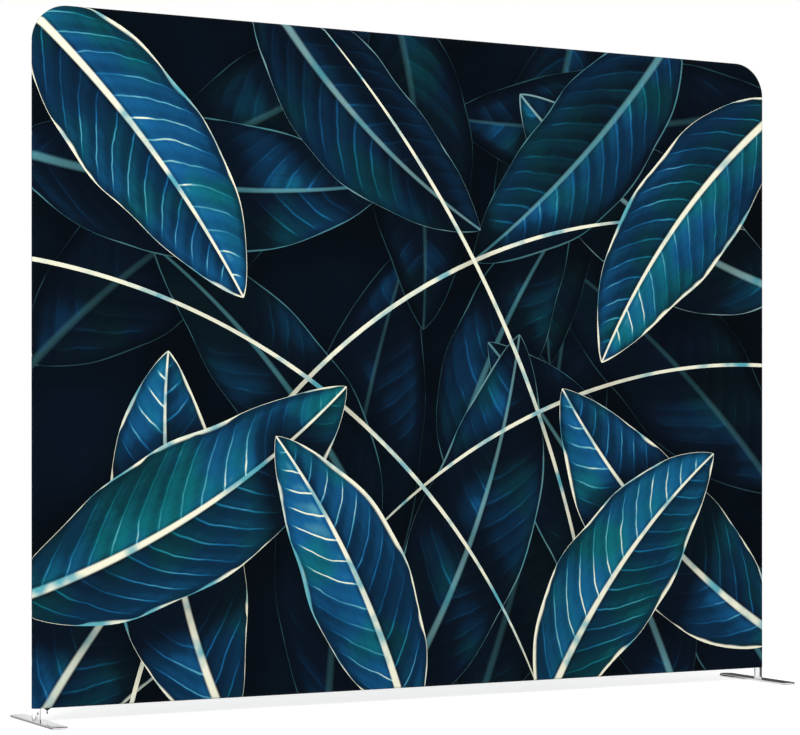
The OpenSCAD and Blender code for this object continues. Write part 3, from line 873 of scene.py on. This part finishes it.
def stitch_tree():
    """Stitches along a seam."""
    tree = Tree("stitches", ("Step", "Length", "Thread"))
    bead = tree.node("GeometryNodeMeshUVSphere", {}, {"Segments": 6, "Rings": 4, "Radius": 0.5})
    thread = tree.input("Thread")
    lie = tree.transform(bead, "Scale", tree.join(tree.input("Length"), thread, thread))
    way = tree.node("GeometryNodeInputTangent")
    aim = tree.node("FunctionNodeAlignRotationToVector", {"axis": "X"}, {"Vector": way})
    return tree.repeat(lie, Rotation=aim)


def coil_tree():
    """Flattened loops of nylon wire along a zip."""
    tree = Tree("zip coil", ("Step", "Wire", "Width", "Height"))
    upright = tree.transform(tree.circle(8, 0.5), "Rotation", (0, math.pi / 2, math.radians(8)))
    extent = tree.join(tree.input("Step"), tree.input("Width"), tree.input("Height"))
    flat = tree.transform(upright, "Scale", extent)
    wire = tree.circle(5, tree.input("Wire") * 0.5)
    return tree.repeat(tree.node("GeometryNodeCurveToMesh", {}, {"Curve": flat, "Profile Curve": wire}))


def path_piece(name, runs):
    """A mesh of open polylines, the start of a row of stitches or coils."""
    points = []
    edges = []
    for run in runs:
        edges += [(i, i + 1) for i in range(len(points), len(points) + len(run) - 1)]
        points.extend(run)
    return new_piece(name, points, edges=edges)


# Operators
class DIVIDER_OT_frame(bpy.types.Operator):
    """Finishes the tubes, sleeves, buttons, springs and rivets of the frame"""
    bl_idname = "divider.frame"
    bl_label = "Finish frame"

    def execute(self, context):
        metal = context.scene.divider_metal
        sleeve = plated("sleeve_zinc", metal.sleeve, 0.34)
        finishes = {
            "upright": polished("tube_upright", metal.tube, metal.tube_gloss, 0.2, "Z"),
            "tube": polished("tube_across", metal.tube, metal.tube_gloss, 0.2, "X"),
            "sleeve": sleeve,
            "spigot": sleeve,
            "button": plated("button_nickel", metal.nickel, 0.22, 200),
            "spring": plated("spring_steel", metal.spring, 0.36, 90),
            "rivets": plated("rivet_aluminium", metal.rivet, 0.38, 220),
            "screws": plated("screw_black", metal.screw, 0.42, 260),
        }
        for node, item in frame["nodes"].items():
            kind = node.split("_")[-1]
            if kind in finishes:
                dress(item, finishes[kind])
        for side in SIDES:
            for row in ("lower", "upper"):
                leg = clean_copy(f"{row}_{side}_upright", f"{side}_leg_{row}")
                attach(leg, "root")
                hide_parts(f"{row}_{side}_upright")
        for joint in frame["joints"]:
            if joint["name"].endswith("_button_press"):
                self.leaf_spring(joint, metal.leaf)
        for side in SIDES:
            self.dome(side, finishes["button"])
        return {"FINISHED"}

    def leaf_spring(self, joint, thickness):
        """Merged copy of a snap button's folded leaf spring, in place of the frame node."""
        node = joint["child"].replace("_button", "_spring")
        leaf = clean_copy(node, f"{node}_leaf")
        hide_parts(node)
        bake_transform(leaf)

    def dome(self, side, material):
        """Domed push button of a foot, in place of the plain one."""
        node = f"{side}_foot_button"
        low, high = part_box(node)
        middle = (low + high) / 2
        back, tip = (-high.y, -low.y) if side == "left" else (low.y, high.y)
        neck = tip - DOME_H
        profile = [(0.0, back), (COLLAR_R, back), (COLLAR_R, back + COLLAR_H), (BUTTON_R, back + COLLAR_H),
                   (BUTTON_R, neck)]
        for k in range(1, DOME_STEPS):
            a = math.pi / 2 * k / DOME_STEPS
            profile.append((BUTTON_R * math.cos(a) ** 0.8, neck + DOME_H * math.sin(a)))
        profile.append((0.0, tip))
        spun = turned(profile, 32, (middle.x, 0, middle.z), SIDES[side])
        dome = dress(closed(new_piece(f"{node}_dome", *spun), 40), material)
        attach(dome, node)
        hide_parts(node)


class DIVIDER_OT_feet(bpy.types.Operator):
    """Makes the foot plates and their rubber pads"""
    bl_idname = "divider.feet"
    bl_label = "Make feet"

    def execute(self, context):
        metal = context.scene.divider_metal
        steel = polished("plate_steel", metal.plate, metal.plate_gloss, 0.8, "Y")
        for side in SIDES:
            plate = dress(self.plate(side, metal), steel)
            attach(plate, "root")
            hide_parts(f"{side}_foot_plate")
        rubbers = context.scene.divider_rubber
        pads = dress(self.pads(rubbers.rings), rubber("pad_rubber", rubbers.pad))
        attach(pads, "root")
        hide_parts("foot_pads")
        return {"FINISHED"}

    def plate(self, side, metal):
        """Flat plate with full-round ends, a rolled upper edge and two countersunk holes."""
        low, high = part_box(f"{side}_foot_plate")
        x = (low.x + high.x) / 2
        half = (high.x - low.x) / 2
        ways = [(math.cos(a), math.sin(a)) for a in spaced(0, math.pi, ROUND_STEP)]
        ring = [(half * wx, high.y - half + half * wy, wx, wy) for wx, wy in ways]
        ring += [(-px, -py, -wx, -wy) for px, py, wx, wy in ring]
        bevel = metal.bevel
        steps = [(-bevel, low.z), (-bevel * 0.3, low.z + bevel * 0.3), (0.0, low.z + bevel)]
        for k in range(ROLL_STEPS + 1):
            a = math.pi / 2 * k / ROLL_STEPS
            steps.append((-metal.roll * (1 - math.cos(a)), high.z - metal.roll * (1 - math.sin(a))))
        points = [(x + px + wx * inset, py + wy * inset, z) for inset, z in steps for px, py, wx, wy in ring]
        n = len(ring)
        holes = self.holes(side)
        wall = [(metal.head_hole, low.z), (metal.screw_hole, low.z + metal.sink), (metal.screw_hole, high.z)]
        parts = [(points, between_rings(len(steps), n)),
                 self.face_with_holes(points[:n], metal.head_hole, holes),
                 self.face_with_holes(points[-n:], metal.screw_hole, holes)]
        parts += [turned(wall, HOLE_SIDES, (hx, hy, 0)) for hx, hy in holes]
        return closed(new_piece(f"{side}_foot_steel", *joined(parts)), 40)

    def holes(self, side):
        """Places of a plate's screw holes, read from the screws."""
        low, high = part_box("foot_screws")
        leg_low, leg_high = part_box(f"{side}_foot_spigot")
        leg_x = (leg_low.x + leg_high.x) / 2
        head = (high.x - low.x) / 2 - abs(leg_x)
        apart = high.y - head
        return [(leg_x, -apart), (leg_x, apart)]

    def face_with_holes(self, rim, radius, holes):
        """A flat face inside a rim, round its holes."""
        turns = [math.tau * i / HOLE_SIDES for i in range(HOLE_SIDES)]
        rounds = [[(hx + radius * math.cos(a), hy + radius * math.sin(a)) for a in turns] for hx, hy in holes]
        flat, faces, inside = cut_flat((), [[(x, y) for x, y, _ in rim]] + rounds, 1e-7)
        kept = [face for face, over in zip(faces, inside) if over == [0]]
        return [(x, y, rim[0][2]) for x, y in flat], kept

    def pads(self, rings):
        """Round pads with grip rings, four under each plate."""
        low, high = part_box("foot_pads")
        places = []
        for side in SIDES.values():
            x = side * (-low.x - PAD_R)
            reach = -low.y - PAD_R
            places += [(x, -reach + 2 * reach * i / (PAD_COUNT - 1), 0) for i in range(PAD_COUNT)]
        top = high.z
        profile = [(0.0, top), (PAD_R - 0.0003, top), (PAD_R, top - PAD_EDGE), (PAD_R, 0.0005),
                   (PAD_R - 0.0005, 0.0)]
        for k in range(rings, 0, -1):
            edge = GRIP_R * k / rings
            profile += [(edge, 0.0), (edge - PAD_EDGE, GROOVE_H), (edge - 3 * PAD_EDGE, GROOVE_H),
                        (edge - 4 * PAD_EDGE, 0.0)]
        profile.append((0.0, 0.0))
        parts = joined(turned(profile, 48, place) for place in places)
        return closed(new_piece("foot_pad_rubber", *parts), 35)


class DIVIDER_OT_cover(bpy.types.Operator):
    """Makes the printed cloth and its stitched edges"""
    bl_idname = "divider.cover"
    bl_label = "Make cover"

    def execute(self, context):
        settings = context.scene.divider_cover
        panel = Panel(settings)
        front = cloth_mesh("cover_front_cloth", panel)
        back = linked("cover_back_cloth", front.data.copy())
        back.data.transform(Matrix.Diagonal((-1, -1, 1, 1)))
        outside = printed_cloth(settings)
        inside = plain_knit("cloth_inside", settings.lining)
        tree = stitch_tree()
        sizes = {"Step": settings.stitch_step, "Length": settings.stitch, "Thread": settings.thread,
                 "Material": filament("sewing_thread", settings.yarn, 0.55)}
        for face, cloth in (("front", front), ("back", back)):
            seams = tree.run(self.seams(face, panel, settings.thread), **sizes)
            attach(seams, "root")
            dress(cloth, outside, inside)
            worked(cloth, "SOLIDIFY", thickness=settings.cloth, offset=-1, material_offset=1,
                   material_offset_rim=0)
            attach(cloth, "root")
            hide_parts(f"cover_{face}")
        return {"FINISHED"}

    def seams(self, face, panel, thread):
        """Lines of the stitches beside the zip and round the openings for the legs."""
        zip_end = ZIP_HALF - 0.002
        zip_row = panel.bottom + 0.0013
        leg_start = ZIP_HALF + 0.009
        leg_end = panel.edge - 0.0015
        leg_row = panel.low + 0.004
        runs = [level(spaced(-zip_end, zip_end, 0.01), zip_row)]
        runs += [level(spaced(side * leg_start, side * leg_end, 0.002), leg_row) for side in SIDES.values()]
        turn = 1 if face == "front" else -1
        runs = [panel.wrapped(run, thread * 0.15) * (turn, turn, 1) for run in runs]
        return path_piece(f"cover_{face}_stitches", runs)


class DIVIDER_OT_zip(bpy.types.Operator):
    """Makes the zip's tapes, coils, stops, slider and pull"""
    bl_idname = "divider.zip"
    bl_label = "Make zip"

    def execute(self, context):
        settings = context.scene.divider_zip
        tape = woven_tape("woven_tape", settings.tape)
        nylon = filament("coil_nylon", settings.nylon, 0.4)
        paint = plated("slider_paint", settings.slider, 0.34, 160, 0.6)
        bright = plated("pull_nickel", settings.pull, 0.26, 160)
        tree = coil_tree()
        wire = settings.wire
        for face, sign in (("front", -1), ("back", 1)):
            self.tape(face, sign, tape)
            low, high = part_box(f"zip_coil_{face}")
            _, y, z = (low + high) / 2
            margin = settings.step / 2
            row = path_piece(f"zip_coil_{face}_loops", [[(low.x + margin, y, z), (high.x - margin, y, z)]])
            tree.run(row, Step=settings.step, Wire=wire, Width=high.y - low.y - wire,
                     Height=high.z - low.z - wire, Material=nylon)
            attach(row, "root")
            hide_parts(f"zip_coil_{face}")
        for node, name, material, width in (("zip_stops", "zip_stop_clips", paint, 0.0005),
                                            ("zip_slider", "zip_slider_body", paint, 0.00022),
                                            ("zip_pull", "zip_pull_tab", bright, 0.0004)):
            item = worked(clean_copy(node, name, True), "BEVEL", width=width, segments=3,
                          limit_method="ANGLE", angle_limit=math.radians(30), harden_normals=True)
            dress(item, material)
            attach(item, "root" if node == "zip_stops" else node)
            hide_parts(node)
        return {"FINISHED"}

    def tape(self, face, sign, material):
        """Woven tape with a cord sewn into its inner edge."""
        low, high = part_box(f"zip_tape_{face}")
        inner, outer = (low.y, high.y) if sign > 0 else (high.y, low.y)
        section = ((0.0, 0.5), (0.04, 0.15), (0.12, 0.0), (0.22, 0.05), (0.30, 0.2), (0.40, 0.22),
                   (0.75, 0.22), (0.94, 0.2), (1.0, 0.45), (0.94, 0.75), (0.75, 0.78), (0.40, 0.78),
                   (0.30, 0.8), (0.22, 0.95), (0.12, 1.0), (0.04, 0.85))
        profile = [(inner + (outer - inner) * out, low.z + (high.z - low.z) * up) for out, up in section]
        stations = spaced(low.x, high.x, 0.02)
        points = [(x, y, z) for x in stations for y, z in profile]
        k = len(profile)
        ends = [range(k), range(len(points) - k, len(points))]
        item = new_piece(f"zip_tape_{face}_weave", points, between_rings(len(stations), k) + ends)
        dress(closed(item, 60), material)
        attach(item, "root")
        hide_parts(f"zip_tape_{face}")


class DIVIDER_OT_studio(bpy.types.Operator):
    """Sets up the floor, the light and the camera"""
    bl_idname = "divider.studio"
    bl_label = "Set up studio"

    def execute(self, context):
        scene = context.scene
        studio = scene.divider_studio
        scene.view_settings.view_transform = "Standard"
        half = 30
        corners = [(-half, -half, 0), (half, -half, 0), (half, half, 0), (-half, half, 0)]
        floor = dress(new_piece("studio_floor", corners, [(0, 1, 2, 3)]), self.floor(studio))
        scene.world = self.sky(studio)
        self.key_lamp((-4.5, -6.5, 6.0), (0, 0, 1.0), 5.0, studio.key)
        camera = bpy.data.cameras.new("studio_camera")
        camera.lens = studio.lens
        camera.sensor_width = 36
        camera.shift_y = studio.rise
        camera.clip_end = 200
        scene.camera = linked("studio_camera", camera)
        scene.camera.location = (-studio.distance, -studio.back, studio.height)
        scene.camera.rotation_euler = (math.pi / 2, 0, -studio.yaw)
        return {"FINISHED"}

    def floor(self, studio):
        """Pale floor that keeps the shadow and reads white to the eye, with dark painted shade patches that
        only the metal mirrors.
        """
        b = new_board("studio_floor")
        seen, mirrored, through = b.rays()
        here = b.place()
        x, y, _ = b.split(here)
        tone = b.mix(b.noise(here, 3, 2), studio.floor, toned(studio.floor, 0.97))
        matt = b.node("ShaderNodeBsdfDiffuse", {}, {"Color": tone})
        strength = studio.glow * seen.high(mirrored).high(through)
        glow = b.node("ShaderNodeEmission", {}, {"Color": (1, 1, 1), "Strength": strength})
        both = b.node("ShaderNodeAddShader", {}, {0: matt, 1: glow})
        # Painted shade for the metal to mirror: dark patches beside, behind and round the feet that only
        # glossy rays see
        beside = x.fade(1.256, 1.28) * 0.93
        rear = x.fade(1.12, 1.14) * y.fade(0.08, 0.11)
        corner = (x + y).fade(1.22, 1.26) * y.fade(0.0, 0.02) * 0.55
        outer = (1 - x.fade(-1.262, -1.257)) * x.fade(-1.40, -1.32) * y.fade(-0.19, -0.16) * 0.75
        inner = x.fade(-1.20, -1.18) * (1 - x.fade(-1.0, -0.9)) * y.fade(-0.12, -0.06) * 0.38
        dark = beside.high(rear).high(corner).high(outer).high(inner)
        # Near-black emission on those patches: painted shade, seen only in reflections
        reflected_shade = b.node("ShaderNodeEmission", {}, {"Color": (0.02, 0.02, 0.02), "Strength": 1.0})
        shown = b.node("ShaderNodeMixShader", {}, {0: mirrored * dark, 1: both, 2: reflected_shade})
        b.node("ShaderNodeOutputMaterial", {}, {"Surface": shown})
        return b.owner

    def sky(self, studio):
        """White to the eye, an even light on the divider, and a grey ceiling and dark wall in the metal."""
        world = bpy.data.worlds.new("studio_sky")
        world.use_nodes = True
        b = Board(world.node_tree)
        seen, mirrored, through = b.rays()
        x, y, z = b.split(b.place("Generated"))
        ceiling = z.fade(0.15, 0.26) * y.fade(-0.5, -0.1) * 0.5
        wall = (x - y * 0.52).fade(-0.02, 0.05) * y.fade(-0.3, 0.0) * (1 - z.fade(0.3, 0.6)) * 0.93
        metal_view = 1.0 - ceiling.high(wall)
        eye = seen.high(through)
        strength = eye + (1 - eye) * (mirrored * metal_view + (1 - mirrored) * studio.sky)
        light = b.node("ShaderNodeBackground", {}, {"Color": (1, 1, 1), "Strength": strength})
        b.node("ShaderNodeOutputWorld", {}, {"Surface": light})
        return world

    def key_lamp(self, place, target, width, power):
        """Large soft lamp that neither the eye nor the metal sees."""
        lamp = bpy.data.lights.new("key_lamp", "AREA")
        lamp.shape = "SQUARE"
        lamp.size = width
        lamp.energy = power
        item = linked("key_lamp", lamp)
        item.location = place
        item.rotation_euler = (Vector(target) - Vector(place)).to_track_quat("-Z", "Y").to_euler()
        item.visible_camera = False
        item.visible_glossy = False


class DIVIDER_PT_panel(bpy.types.Panel):
    """Lists the divider's settings and steps"""
    bl_idname = "DIVIDER_PT_panel"
    bl_label = "Room divider"
    bl_space_type = "VIEW_3D"
    bl_region_type = "UI"
    bl_category = "Divider"

    def draw(self, context):
        for step in STEPS:
            self.layout.operator(step.bl_idname)
        for label, kind in SETTINGS.items():
            box = self.layout.box()
            box.label(text=kind.__doc__)
            group = getattr(context.scene, label)
            for name in kind.__annotations__:
                box.prop(group, name)


SETTINGS = {
    "divider_cover": CoverSettings,
    "divider_metal": MetalSettings,
    "divider_zip": ZipSettings,
    "divider_rubber": RubberSettings,
    "divider_studio": StudioSettings,
}
STEPS = (DIVIDER_OT_frame, DIVIDER_OT_feet, DIVIDER_OT_cover, DIVIDER_OT_zip, DIVIDER_OT_studio)
KINDS = (*SETTINGS.values(), *STEPS, DIVIDER_PT_panel)


def register():
    for kind in KINDS:
        bpy.utils.register_class(kind)
    for label, kind in SETTINGS.items():
        setattr(bpy.types.Scene, label, PointerProperty(type=kind))


def unregister():
    for label in SETTINGS:
        delattr(bpy.types.Scene, label)
    for kind in reversed(KINDS):
        bpy.utils.unregister_class(kind)


def main():
    register()
    for step in STEPS:
        group, name = step.bl_idname.split(".")
        getattr(getattr(bpy.ops, group), name)()


if __name__ == "__main__":
    main()
